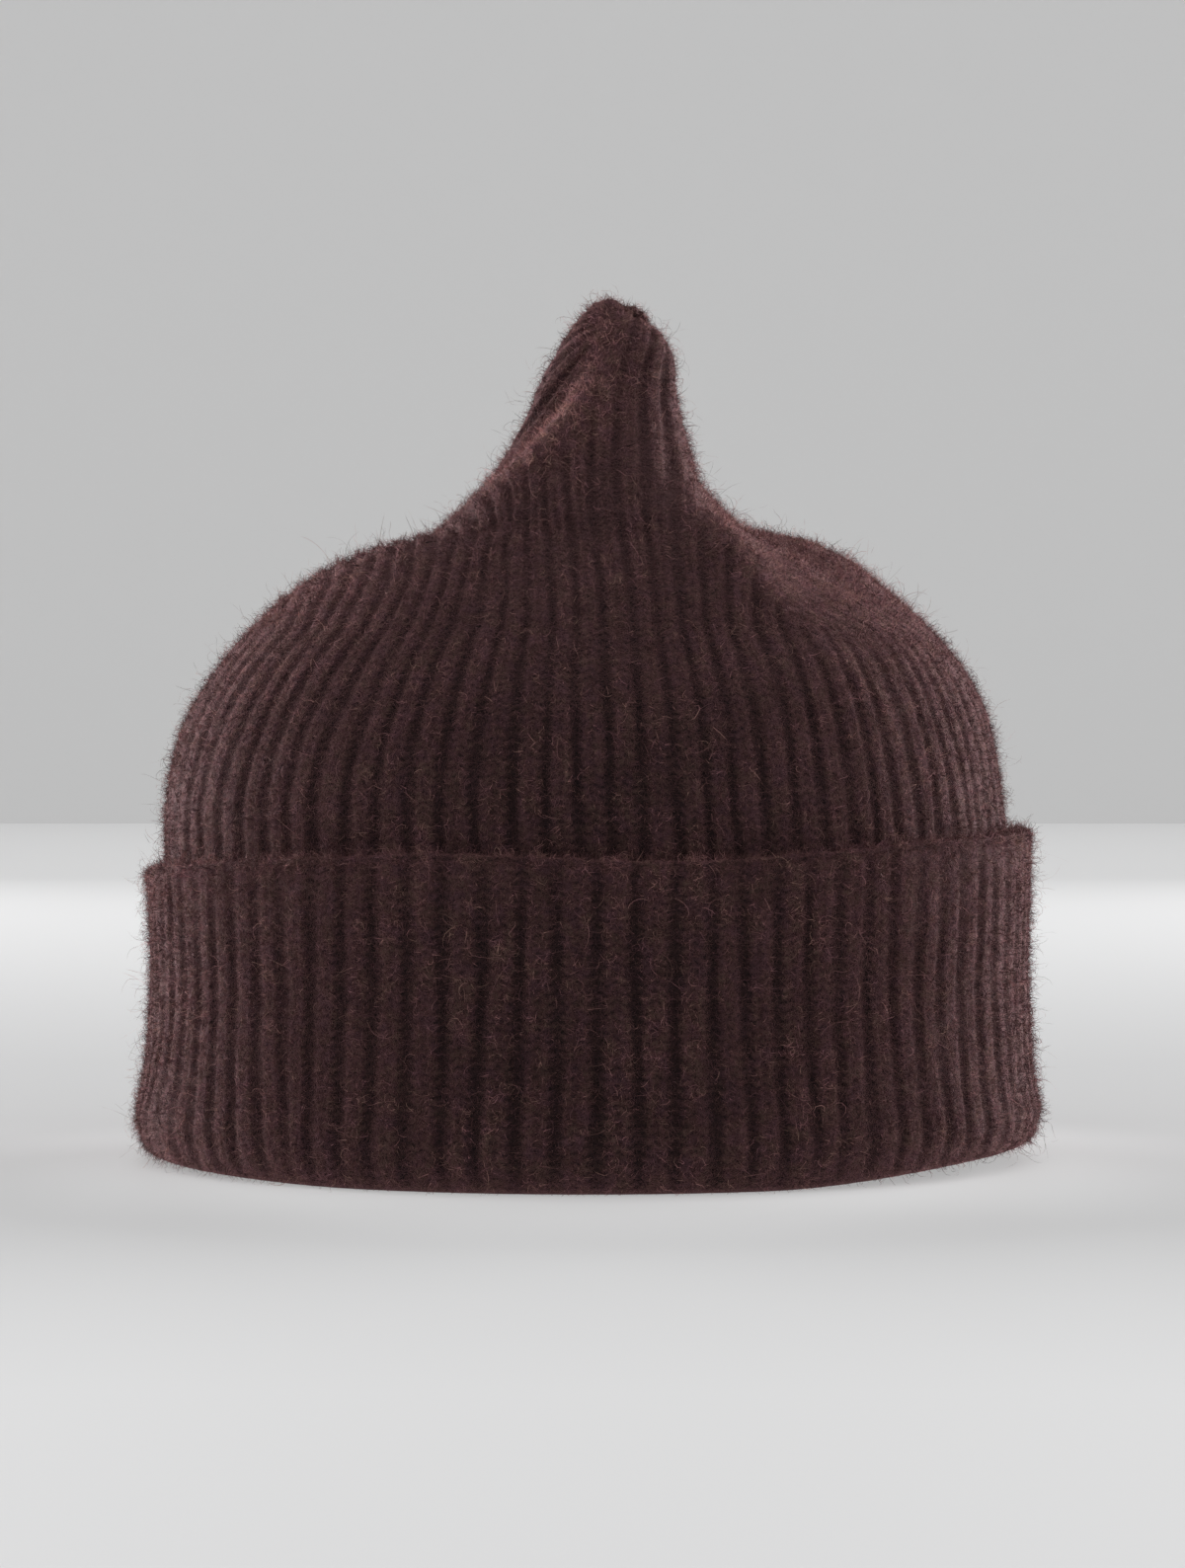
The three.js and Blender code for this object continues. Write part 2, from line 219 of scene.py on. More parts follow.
crown = {
    "ribDepth": 0.85,
    "insideRibDepth": 0.6,
    "panelDeeper": 1.1,  # how much deeper and narrower the ribs are where the front panel rises
    "panelNarrower": 1.2,
    "turned": 1.2,  # degrees by which the middle rib stands right of the front
    "crowding": 2.0,  # degrees by which the front ribs stand closer than even ones
    "leaning": 4.4,  # degrees by which the ribs at the sides stand to the left
    "leanGrows": (4, 42),  # degrees left of the middle between which the lean grows, and fades again
    "leanFades": (56, 88),
    "turnGrows": (76, 92),  # heights between which the ribs turn onto the middle rib's line
    "meetingDepth": 8,  # a ridge swallows its ribs over this much radius
    "meetingWidth": 0.6,  # and over this share of a rib beside it
    "backFade": 0.85,  # how much flatter the ribs lie on the brushed right shoulder
    "backFadeGrows": (-13, 5),  # millimetres within the parallel radius between which this grows
    "shoulderStarts": (-1, 2.5),  # degrees behind the right ridge between which the shoulder starts
    "shoulderMiddle": 80,
    "shoulderEnds": (48, 95),  # degrees from its middle between which the brushed shoulder ends
    "hollowEnd": (4.4, 0, 171),
    "hiddenSections": (0, 0.5, 1, 1.4, 1.7),  # behind the cuff
    "shownFrom": 1.85,
    "rowHeight": 1.6,
    "insideRows": 20,
    "insideTopSection": 19,
    "unevenness": 0.45,
    "unevenGrows": (4, 20),  # radii between which the cloth's waves and the ribs' straying grow
    "strayGrows": (8, 40),
    "lumps": 0.09,
    "lumpsFrom": (1.5, 2),  # sections between which the lumps begin
}


# Where the middle rib runs on its way to the tip: z, x
middleRib = np.array([
    (76, 1.2), (98, 0.7), (110, 0.7), (118, 0.3), (126, -0.6), (133, -1.7), (144, -2.2), (158, -1.9),
    (166, -0.5), (172, 1.5), (180.4, 4),
])
# On the left the ribs lean in towards the peak: z, by how many ribs
leftLean = np.array([
    (76, 0), (85, 0.15), (98, 0.65), (110, 1.05), (118, 1.75), (124, 1.85), (129, 1.5), (137, 0.8),
    (150, 0),
])


def flatShare(forward):
    # 0 where the front panel is as round as the rest, 1 where it lies flat
    return np.clip(forward / frontPanel["squareAt"], 0, 1)


def crownMean(azimuth, level):
    section = throughRows(crownSections, level)
    z, radius, forward = section[..., 0], section[..., 1], section[..., 3]
    turn = np.radians(azimuth)
    x = section[..., 2] + radius * np.sin(turn)
    depth = radius * hat["depthShare"]
    power = 2 + frontPanel["squareness"] * flatShare(forward)
    squared = np.maximum(1 - np.abs(np.sin(turn)) ** power, 0) ** (1 / power)
    y = -depth * np.cos(turn)
    flat = np.where(np.cos(turn) > 0, -(depth + forward) * squared, y)
    return np.stack([x, y + onPanel(azimuth, z) * (flat - y), z], -1), radius


def onPanel(azimuth, z):
    # 1 on the front panel, falling to 0 beside the two ridges
    around = wrap(azimuth)
    left, right = foldAt("leftRidge", z)[0], foldAt("rightRidge", z)[0]
    pastLeft = smoothstep(around, left - frontPanel["besideLeft"], left + frontPanel["before"])
    pastRight = smoothstep(around, right - frontPanel["before"], right + frontPanel["besideRight"])
    return pastLeft * (1 - pastRight)


def crownOutward(azimuth, level):
    step = 0.02
    level = np.clip(level, 0.03, lastSection - 0.05)
    around = crownMean(azimuth + step, level)[0] - crownMean(azimuth - step, level)[0]
    upward = crownMean(azimuth, level + step)[0] - crownMean(azimuth, level - step)[0]
    return unit(np.cross(around, upward))


def panelPhase(fromMiddle, radius):
    # rib numbers counted from the middle of a panel
    turn = np.radians(fromMiddle)
    crowded = fromMiddle - crown["turned"] + crown["crowding"] * np.sin(2 * turn)
    evened = crowded + crown["leaning"] * np.sin(turn) ** 2
    return ribsIn(evened * np.minimum(1, radius / hat["parallelRadius"]))


def flattened(fromMiddle, level):
    # where the front panel lies flat, its ribs keep their distance as seen from the front
    flat = flatShare(throughRows(crownSections, level)[..., 3])
    beyond = np.sign(fromMiddle) * np.maximum(np.abs(fromMiddle) - 90, 0)
    seen = np.degrees(np.sin(np.radians(np.clip(fromMiddle, -90, 90)))) + beyond
    return fromMiddle + flat * (seen - fromMiddle)


def ribTurn(level):
    # degrees by which the whole rib pattern turns at a level, so that the middle rib keeps to its line
    place, radius = crownMean(np.zeros_like(level), level)
    z = place[..., 2]
    aside = tableAt(middleRib, z) - place[..., 0]
    wanted = np.degrees(aside / np.maximum(radius, 2))
    return (wanted - crown["turned"]) * smoothstep(z, *crown["turnGrows"])


def leaningIn(fromMiddle, z):
    # ribs by which the front panel's left side leans in
    growing, fading = crown["leanGrows"], crown["leanFades"]
    share = smoothstep(-fromMiddle, *growing) * (1 - smoothstep(-fromMiddle, *fading))
    return tableAt(leftLean, z) * share


def crownRibs(azimuth, level, z, radius):
    # the dome's ribs run up the front and the back in two panels, which meet along the two ridges
    left = foldAt("leftRidge", z)[0]
    right = foldAt("rightRidge", z)[0]
    onFront = (azimuth > left) & (azimuth < right)
    turned = ribTurn(level)
    fromFront = wrap(azimuth - turned)
    phase = panelPhase(np.where(onFront, flattened(fromFront, level), wrap(azimuth - 180 - turned)), radius)
    phase = phase - np.where(onFront, leaningIn(fromFront, z), 0)
    pitch = 2 * math.pi * hat["parallelRadius"] / hat["ribCount"]
    toRidge = np.radians(np.minimum(np.abs(wrap(azimuth - left)), np.abs(wrap(azimuth - right)))) * radius
    gathered = smoothstep(hat["parallelRadius"] - radius, 0, crown["meetingDepth"])
    meeting = 1 - (1 - smoothstep(toRidge, 0, crown["meetingWidth"] * pitch)) * gathered
    fromShoulder = np.abs(wrap(azimuth - crown["shoulderMiddle"]))
    shoulder = smoothstep(azimuth - right, *crown["shoulderStarts"])
    shoulder = shoulder * (1 - smoothstep(fromShoulder, *crown["shoulderEnds"]))
    behindRidge = np.where(onFront, 0, crown["backFade"] * shoulder)
    flatter = 1 - behindRidge * smoothstep(hat["parallelRadius"] - radius, *crown["backFadeGrows"])
    melting = smoothstep(radius, 0, hat["tipFade"])
    return phase, meeting * flatter * melting


def footLift(azimuth, z):
    # the fold lies a little off the table at the sides, more so on the right
    aside = np.sin(np.radians(azimuth))
    (right, rightStart), (left, leftStart) = hat["liftRight"], hat["liftLeft"]
    lift = right * smoothstep(aside, rightStart, 1) + left * smoothstep(-aside, leftStart, 1)
    return lift * (1 - smoothstep(z, 0, hat["liftHeight"]))


def crownColumns(even, levels):
    # azimuths of columns that keep to their ribs, up the two panels and into the ridges
    sweep = np.linspace(-200, 200, 1601)
    ribs = ribsIn(even)
    ribsBack = ribsIn(wrap(even - 180))
    meetingLevel = np.interp(-hat["parallelRadius"], -crownSections[4:, 1], np.arange(4, lastSection + 1))
    home = ribTurn(np.full(1, meetingLevel))[0]
    wide = hat["parallelRadius"]
    homeLeft = panelPhase(foldAt("leftRidge", 0.0)[0] - home, wide)
    homeRight = panelPhase(foldAt("rightRidge", 0.0)[0] - home, wide)
    onFront = (ribs > homeLeft) & (ribs < homeRight)
    rows = []
    for level in levels:
        middle, radius = crownMean(sweep, np.full_like(sweep, level))
        z = middle[0, 2]
        turned = ribTurn(np.full(1, level))[0]
        facing = panelPhase(flattened(sweep - turned, np.full_like(sweep, level)), radius)
        front = np.interp(ribs, facing - leaningIn(sweep - turned, z), sweep)
        back = np.interp(ribsBack, panelPhase(sweep - turned, radius), sweep)
        if crownSections[4, 0] < z and radius[0] < wide:
            left, right = foldAt("leftRidge", z)[0], foldAt("rightRidge", z)[0]
            front = np.clip(front, left, right)
            back = np.clip(back, right - 180, left + 180)
        rows.append(np.where(onFront, front, back + 180))
    return np.array(rows)


def crownPoint(azimuth, level, further=0.0, ribDepth=None):
    ribDepth = crown["ribDepth"] if ribDepth is None else ribDepth
    middle, radius = crownMean(azimuth, level)
    z = middle[..., 2]
    phase, share = crownRibs(wrap(azimuth), level, z, radius)
    shown = ribHeight(phase, azimuth, z)
    rising = flatShare(throughRows(crownSections, level)[..., 3]) * onPanel(azimuth, z)
    shown = np.maximum(shown, 0) ** (1 + crown["panelNarrower"] * rising)
    deeper = 1 + crown["panelDeeper"] * rising
    relief = foldRelief(wrap(azimuth), z, radius) + (shown - rib["mean"]) * share * ribDepth * deeper
    relief += softUnevenness(azimuth, z, crown["unevenness"]) * smoothstep(radius, *crown["unevenGrows"])
    stray = unevenRibs(azimuth, z) * smoothstep(radius, *crown["strayGrows"])
    moved = crownMean(azimuth + stray, level)[0]
    outward = crownOutward(azimuth + stray, level)
    # the returned relief also carries the painted highlight, above 1, which the hairs take as paler
    shown = 1 - (1 - shown) * share + paintedHighlight(wrap(azimuth), z, radius)
    return moved + outward * (relief + further)[..., None], phase, shown


legRise = 0.55  # how far a stitch's legs rise, as a share of a row


def stitchAt(phase, course):
    # 1 on a stitch, 0 between two rows: each rib is two columns, and a stitch's legs rise from its middle
    fromMiddle = 2 * np.abs(2 * phase % 1 - 0.5)
    return np.abs(np.sin(math.pi * (course - legRise * fromMiddle)))


def rowsAlong(pointAt, low, high, spacing):
    # levels between low and high whose points stand the same distance apart
    fine = np.linspace(low, high, 2000)
    run = lengthAlong(pointAt(fine))
    count = max(2, round(run[-1] / spacing))
    return np.interp(np.linspace(0, run[-1], count + 1), run, fine)


def columnsEven():
    # a column on each rib's middle and in each groove, closer together on the flanks between them
    perRib = hat["columnsPerRib"]
    steps = np.arange(perRib) / perRib
    places = steps + hat["flankColumns"] * np.sin(4 * math.pi * steps)
    ribs = np.arange(hat["ribCount"])[:, None] + places
    return ribs.ravel() * 360 / hat["ribCount"] - 180


def vertexPlaces(mesh):
    flat = np.empty(len(mesh.vertices) * 3)
    mesh.vertices.foreach_get("co", flat)
    return flat.reshape(-1, 3)


def keepValues(mesh, name, values):
    kept = mesh.attributes.new(name, "FLOAT", "POINT")
    kept.data.foreach_set("value", values.astype(np.float32))


def newPrimitive(name, add, **settings):
    bpy.ops.object.select_all(action="DESELECT")
    add(**settings)
    piece = bpy.context.object
    piece.name = piece.data.name = name
    return piece


def knitPanel(name, points, phases, relief, courses):
    # a grid primitive bent to a lattice of points, closed at its seam, with its own map and rib relief
    rows, columns = points.shape[:2]
    lattice = {"x_subdivisions": columns, "y_subdivisions": rows - 1, "size": 1}
    piece = newPrimitive(name, bpy.ops.mesh.primitive_grid_add, **lattice)
    mesh = piece.data
    flat = vertexPlaces(mesh)
    column = np.round((flat[:, 0] + 0.5) * columns).astype(int)
    row = np.round((flat[:, 1] + 0.5) * (rows - 1)).astype(int)
    placed = points[row, column % columns] * metre
    mesh.vertices.foreach_set("co", placed.ravel())
    keepValues(mesh, "ribRelief", relief[row, column % columns])
    corners = np.empty(len(mesh.loops), int)
    mesh.loops.foreach_get("vertex_index", corners)
    along = phases[row, column % columns]
    knitMap = mesh.uv_layers[0]
    knitMap.name = "knit"
    spots = np.stack([along[corners], courses[row[corners]]], -1)
    knitMap.data.foreach_set("uv", spots.ravel().astype(np.float32))
    bpy.ops.object.mode_set(mode="EDIT")
    bpy.ops.mesh.select_all(action="SELECT")
    bpy.ops.mesh.remove_doubles(threshold=1e-6)
    bpy.ops.mesh.normals_make_consistent(inside=False)
    bpy.ops.object.mode_set(mode="OBJECT")
    bpy.ops.object.shade_smooth()
    return piece


def crownCourse(level):
    # how many rows of stitches lie below a level
    fine = np.linspace(0, lastSection, 2000)
    run = lengthAlong(crownMean(np.zeros_like(fine), fine)[0])
    return np.interp(level, fine, run) / hat["course"]


def makeCrown():
    even = columnsEven()
    shown = rowsAlong(
        lambda level: crownMean(np.full_like(level, 0), level)[0],
        crown["shownFrom"], lastSection, crown["rowHeight"],
    )
    outside = np.concatenate([crown["hiddenSections"], shown])
    inside = np.linspace(crown["insideTopSection"], 0, crown["insideRows"])
    levels = np.repeat(outside[:, None], len(even), 1)
    azimuths = crownColumns(even, outside)
    outer, outerPhase, outerRelief = crownPoint(azimuths, levels)
    lump = draw.normal(0, crown["lumps"], levels.shape)[..., None]
    settled = azimuths == np.roll(azimuths, 1, 1)
    settled |= azimuths == np.roll(azimuths, -1, 1)
    lump[settled] = 0
    outer += crownOutward(azimuths, levels) * lump * smoothstep(levels, *crown["lumpsFrom"])[..., None]
    outer[-1] = crownMean(np.zeros(1), np.full(1, float(lastSection)))[0]
    levels = np.repeat(inside[:, None], len(even), 1)
    azimuths = crownColumns(even, inside)
    inner, innerPhase, innerRelief = crownPoint(azimuths, levels, -hat["wall"], -crown["insideRibDepth"])
    end = np.broadcast_to(np.array(crown["hollowEnd"], float), (1,) + outer.shape[1:])
    for foot in (inner[-1], outer[0]):
        foot[:, 2] = crownSections[0, 0] + footLift(even, crownSections[0, 0])
    points = np.concatenate([end, inner, outer])
    phases = np.concatenate([innerPhase[:1], innerPhase, outerPhase])
    relief = np.concatenate([innerRelief[:1], innerRelief, outerRelief])
    courses = crownCourse(np.concatenate([inside[:1], inside, outside]))
    return knitPanel("crownKnit", points, phases, relief, courses)


cuff = {
    "height": 64,
    "ribDepth": 1.0,
    "rowHeight": 1.4,
    "insideRows": 12,
    "measuredAt": 32,  # height at which the ribs stand in the places below
    "unevenness": 0.3,
    "unevenFrom": (2, 12),  # heights between which the waves and the lumps begin
    "lumps": 0.09,
    "lumpsFrom": (1, 5),
    "napFrom": 5,  # section above which the nap grows, clear of the table
    "underEdge": 1.3,  # how far below the top of the bound-off edge the cuff ends
    "footSpread": (-46, 11, 2.4),  # azimuth, width and degrees by which the ribs stray at the fold
    "footLean": (-72, 8, -4.5),
    "strayFrom": 30,
}

# Cross-section at the side, from inside the fold round to the top: half width, z, share of the edge's
# height, share of the rib depth
cuffOutside = np.array([
    (84.4, 4.2, 0, 0), (83.9, 2.4, 0, 0.1), (85.2, 0.7, 0, 0.2), (87.4, 0, 0, 0.2), (89.4, 0, 0, 0.3),
    (91.2, 0.8, 0, 0.5), (93, 3, 0, 0.8), (94.3, 9, 0, 1), (93, 19, 0, 1), (91.7, 36, 0, 1),
    (91.9, 48, 0, 1), (92.4, 0, 1, 0.6),
], float)
cuffInside = np.array([
    (89.6, 0, 1, 0), (89.1, 36, 0, 0), (89.9, 19, 0, 0), (90.6, 10, 0, 0), (89.9, 5.8, 0, 0),
    (88, 4.2, 0, 0), (85.6, 4.6, 0, 0),
], float)
cuffTop = np.array([  # azimuth, height of the bound-off edge
    (-90, 60.2), (-70, 61.4), (-55, 62.8), (-38, 64.4), (-20, 65.3), (0, 64.2), (12, 63.9), (30, 65.2),
    (50, 67.2), (75, 68.8), (100, 68.4), (140, 66), (180, 64.4), (225, 62), (270, 60.2),
])


def fromLeft(azimuth):
    # the same azimuth between -90 and 270, as the cuff's tables have it
    return (azimuth + 90) % 360 - 90


def cuffTopAt(azimuth):
    return tableAt(cuffTop, fromLeft(azimuth))


def cuffStray(even, z):
    fading = 1 - smoothstep(z, 0, cuff["strayFrom"])
    stray = unevenRibs(even, z) - unevenRibs(even, cuff["measuredAt"])
    for middle, width, degrees in (cuff["footSpread"], cuff["footLean"]):
        stray = stray + degrees * np.exp(-((wrap(even - middle) / width) ** 2)) * fading
    return stray


cuffRibShift = np.array([  # azimuth of an even rib, degrees by which the real one stands off it
    (-90, -0.5), (-70, -0.6), (-48, -2.4), (-20, -1.9), (0, -1.3), (16, -0.7), (34, -2.1), (52, -2.9),
    (75, -2.2), (90, -1.5), (180, -1), (270, -0.5),
])


def cuffAzimuth(even):
    return even + tableAt(cuffRibShift, fromLeft(even))


def cuffPoint(even, level, rows=cuffOutside):
    section = throughRows(rows, level)
    azimuth = cuffAzimuth(even)
    top = section[..., 2] * (cuffTopAt(azimuth) - cuff["underEdge"])
    z = section[..., 1] + top
    azimuth = azimuth + cuffStray(even, z)
    phase = ribsIn(even)
    shown = ribHeight(phase, azimuth, z)
    share = section[..., 3]
    radius = section[..., 0] + (shown - rib["mean"]) * share * cuff["ribDepth"]
    radius = radius + softUnevenness(azimuth, z, cuff["unevenness"]) * smoothstep(z, *cuff["unevenFrom"])
    turn = np.radians(azimuth)
    lifted = np.maximum(z + footLift(azimuth, z), 0)
    return roundPlan(radius, turn, lifted), phase, 1 - (1 - shown) * share


def cuffProfile(level):
    section = throughRows(cuffOutside, level)
    z = section[..., 1] + section[..., 2] * cuff["height"]
    return np.stack([section[..., 0], z], -1)


def cuffCourse(level):
    fine = np.linspace(0, len(cuffOutside) - 1, 1000)
    return np.interp(level, fine, lengthAlong(cuffProfile(fine))) / hat["course"]


def makeCuff():
    even = columnsEven()
    last = len(cuffOutside) - 1
    outside = rowsAlong(cuffProfile, 0, last, cuff["rowHeight"])
    inside = np.linspace(0, len(cuffInside) - 1, cuff["insideRows"])
    grid, levels = np.meshgrid(even, outside)
    outer, outerPhase, outerRelief = cuffPoint(grid, levels)
    lump = draw.normal(0, cuff["lumps"], levels.shape) * smoothstep(outer[..., 2], *cuff["lumpsFrom"])
    outer[..., :2] += unit(outer[..., :2]) * lump[..., None]
    grid, levels = np.meshgrid(even, inside)
    inner, innerPhase, innerRelief = cuffPoint(grid, levels, cuffInside)
    points = np.concatenate([outer, inner, outer[:1]])
    phases = np.concatenate([outerPhase, innerPhase, outerPhase[:1]])
    relief = np.concatenate([outerRelief, innerRelief, outerRelief[:1]])
    reach = cuffCourse(outside[-1])
    coursesInside = reach + 2 + np.linspace(0, reach, len(inside))
    courses = np.concatenate([cuffCourse(outside), coursesInside, [2 * reach + 4]])
    return knitPanel("cuffKnit", points, phases, relief, courses)


edge = {
    "halfWidth": 90.7,
    "halfThick": 1.8,
    "height": 2.3,
    "sides": 10,
    "loopsPerRib": 2,
    "loopDepth": 0.1,  # how far the bound-off loops stand out
    "scallop": 0.14,  # how far the edge rises over each rib
    "unevenness": 0.35,
    "napTilts": (-0.9, 2.4),  # radians round the roll between which its nap grows
}


def edgePoint(even, tilt):
    azimuth = cuffAzimuth(even) + cuffStray(even, cuff["height"])
    turn = np.radians(azimuth)
    phase = ribsIn(even)
    loops = np.abs(np.cos(math.pi * edge["loopsPerRib"] * phase)) - 0.6
    swell = 1 + edge["loopDepth"] * loops
    radius = edge["halfWidth"] + edge["halfThick"] * swell * np.cos(tilt)
    wave = edge["scallop"] * np.cos(2 * math.pi * phase) + softUnevenness(azimuth, 60, edge["unevenness"])
    z = cuffTopAt(azimuth) + edge["height"] / 2 * (swell * np.sin(tilt) - 1) + wave
    # the relief it returns gives painted shade in the grooves and between the bound-off loops
    return roundPlan(radius, turn, z), phase, 0.3 + 0.7 * ribHeight(phase, azimuth, z) + 0.3 * loops


def makeCuffEdge():
    grid, tilts = np.meshgrid(columnsEven(), np.linspace(-math.pi, math.pi, edge["sides"] + 1))
    points, phases, relief = edgePoint(grid, tilts)
    points[-1] = points[0]
    courses = np.linspace(0, 6, edge["sides"] + 1)
    return knitPanel("cuffEdgeRoll", points, phases, relief, courses)


nub = {
    "place": (9.7, -1.2, 176.8),
    "radius": 2.5,
    "height": 3.4,
    "lean": 30,
    "lobes": 6,
    "lobeDepth": 0.22,
    "twist": 0.8,
    "pucker": 0.2,
    "puckerWidth": 0.3,
    "napLevels": (-0.9, 0.97),
}


def nubPoint(azimuth, level):
    around = np.radians(azimuth)
    width = np.sqrt(np.maximum(1 - level ** 2, 0))
    groove = np.abs(np.sin(nub["lobes"] / 2 * around + nub["twist"] * level)) ** 0.7
    swell = 1 + nub["lobeDepth"] * (groove - 0.6) * width
    swell = swell + 0.05 * np.sin(9 * around + 7 * level) * width
    sunk = nub["pucker"] * np.exp(-((width / nub["puckerWidth"]) ** 2)) * np.sign(level)
    x = nub["radius"] * swell * width * np.cos(around)
    y = nub["radius"] * swell * width * np.sin(around)
    z = nub["height"] / 2 * (level * swell - sunk)
    lean = math.radians(nub["lean"])
    leaning = [x * math.cos(lean) + z * math.sin(lean), y, z * math.cos(lean) - x * math.sin(lean)]
    return np.stack(leaning, -1) + nub["place"], around, groove


def makeTipNub():
    ball = {"segments": 72, "ring_count": 36, "radius": 1}
    piece = newPrimitive("tipNub", bpy.ops.mesh.primitive_uv_sphere_add, **ball)
    mesh = piece.data
    x, y, level = vertexPlaces(mesh).T
    placed, _, groove = nubPoint(np.degrees(np.arctan2(y, x)), level)
    mesh.vertices.foreach_set("co", (placed * metre).ravel())
    # the lobes' relief gives painted shade between them
    keepValues(mesh, "ribRelief", groove)
    mesh.uv_layers[0].name = "knit"
    bpy.ops.object.shade_smooth()
    return piece


# The kinds of hairs: lying on the yarn, standing off it, loose, curling, and single long ones. flat is how
# far they bend along the cloth, and grooveShading how much painted shade darkens those in the grooves.
hairMeasures = ("segments", "length", "lift", "width", "bend", "spread", "flat", "shade", "grooveShading")
# The shade column paints the hairs that stand off the cloth paler than the laid ones: a painted sheen for
# the light their fuzz catches at the sides
hairKinds = {
    "laid": (1, (1.2, 2.8), (2, 24), 0.19, 0, 60, 1, (0, 0.7), 0.95),
    "raised": (1, (0.9, 2.2), (8, 75), 0.11, 0, 110, 0.6, (0, 1), 0.96),
    "loose": (3, (1.8, 4.2), (15, 90), 0.085, 45, 180, 0.2, (0.05, 1), 0.8),
    "curly": (6, (3.2, 8), (20, 90), 0.072, 48, 180, 0, (0.2, 1), 0.5),
    "stray": (7, (6, 12), (15, 60), 0.07, 24, 180, 0, (0.4, 1), 0.2),
}
nap = {
    "kink": 45,  # degrees by which a hair's curl turns from one segment to the next
    "rooted": 0.15,  # how deep a fibre starts in the yarn
    "tuft": 1.5,  # size of a tuft of fibres that lean alike
    "grooveKept": 0.2,  # share of the fibres that grow in the grooves
    "stitchMottle": 0.62,  # how ragged each row of stitches makes the rib's sides
    "tuftMottle": 0.66,
    "cloudMottle": 0.12,
    "contrast": 1.35,  # how far the hairs' shades spread
    # how many of each kind grow: on each half of the crown and of the cuff, on the edge and on the nub
    "crown": {"laid": 24000, "raised": 40000, "loose": 17000, "curly": 4200, "stray": 160},
    "cuff": {"laid": 20000, "raised": 31000, "loose": 13500, "curly": 3600, "stray": 110},
    "edge": {"laid": 4500, "raised": 9000, "loose": 3200, "curly": 600},
    "nub": {"laid": 420, "raised": 90, "loose": 24},
}
tuftHeadings = draw.uniform(0, 2 * math.pi, 8192)
tuftShades = draw.uniform(0, 1, 8192)
tuftSizes = draw.uniform(-1, 1, 8192)


def surfaceFrame(pointOn, first, second, firstStep, secondStep):
    here, phase, relief = pointOn(first, second)
    across = pointOn(first + firstStep, second)[0] - pointOn(first - firstStep, second)[0]
    upward = pointOn(first, second + secondStep)[0] - pointOn(first, second - secondStep)[0]
    outward = np.cross(across, upward)
    area = np.linalg.norm(outward, axis=-1)
    return here, (unit(across), unit(upward), unit(outward)), phase, relief, area


def turnedAbout(vectors, axes, angles):
    along = np.sum(axes * vectors, 1, keepdims=True)
    swung = np.cross(axes, vectors) * np.sin(angles)[:, None]
    return along * axes + (vectors - along * axes) * np.cos(angles)[:, None] + swung


def tuftOf(here):
    cell = np.floor((here + draw.normal(0, 0.3, here.shape)) / nap["tuft"]).astype(np.int64)
    return (cell @ np.array([73856093, 19349663, 83492791])) % len(tuftHeadings)


def fibreShades(here, stitch, relief, tuft, kind):
    low, high = kind["shade"]
    drawn = 0.5 * tuftShades[tuft] + 0.5 * draw.uniform(0, 1, len(here))
    shade = low + (high - low) * np.clip(0.5 + nap["contrast"] * (drawn - 0.5), 0, 1)
    ragged = nap["stitchMottle"] * (2 * stitch - 1) + nap["tuftMottle"] * tuftSizes[tuft]
    # painted shade: hairs rooted in the grooves are darker, the edge of this shade ragged along the rows of
    # stitches and by tuft
    onRib = smoothstep(relief + 0.5 * ragged * np.maximum(1.3 - relief, 0), 0.12, 1.02)
    x, y, z = here.T
    cloud = np.sin(x / 7 + z / 11) * np.sin(z / 9 - x / 13 + y / 8)
    # relief above 1 is the painted highlight of the ridges and shoulders
    paintedLight = 1 + np.maximum(relief - 1, 0)
    return shade * paintedLight * (1 - kind["grooveShading"] * (1 - onRib)) * (1 + nap["cloudMottle"] * cloud)


def fibres(here, frames, stitch, relief, kind):
    # pointed ribbons of a few segments, each turning a little; gives their corners, faces and shades
    count, segments = len(here), kind["segments"]
    across, upward, outward = frames
    step = draw.uniform(*kind["length"], count) / segments
    lift = np.radians(draw.uniform(*kind["lift"], count))
    tuft = tuftOf(here)
    heading = tuftHeadings[tuft] + np.radians(draw.normal(0, kind["spread"], count))
    flat = unit(across * np.cos(heading)[:, None] + upward * np.sin(heading)[:, None])
    way = unit(flat * np.cos(lift)[:, None] + outward * np.sin(lift)[:, None])
    lean = outward * kind["flat"] + draw.normal(0, 0.6, here.shape) * (1 - kind["flat"])
    axis = unit(lean - way * np.sum(way * lean, 1, keepdims=True))
    bend = np.radians(draw.normal(kind["bend"], kind["bend"] / 2, count)) * draw.choice((-1, 1), count)
    twist = draw.uniform(-1.2, 1.2, count)[:, None]
    width = kind["width"] * draw.uniform(0.6, 1.4, count)
    spot = here - outward * nap["rooted"]
    corners = []
    for segment in range(segments):
        side = np.cross(way, axis) * np.cos(twist) + axis * np.sin(twist)
        half = side * (width * 0.5 * (1 - 0.6 * segment / segments))[:, None]
        corners += [spot - half, spot + half]
        spot = spot + way * step[:, None]
        way = turnedAbout(way, axis, bend)
        axis = turnedAbout(axis, way, np.radians(draw.normal(0, nap["kink"], count)))
    corners.append(spot)
    faces = []
    for segment in range(segments - 1):
        low = 2 * segment
        faces += [low, low + 1, low + 3, low, low + 3, low + 2]
    faces += [2 * segments - 2, 2 * segments - 1, 2 * segments]
    return np.stack(corners, 1), np.array(faces), fibreShades(here, stitch, relief, tuft, kind)


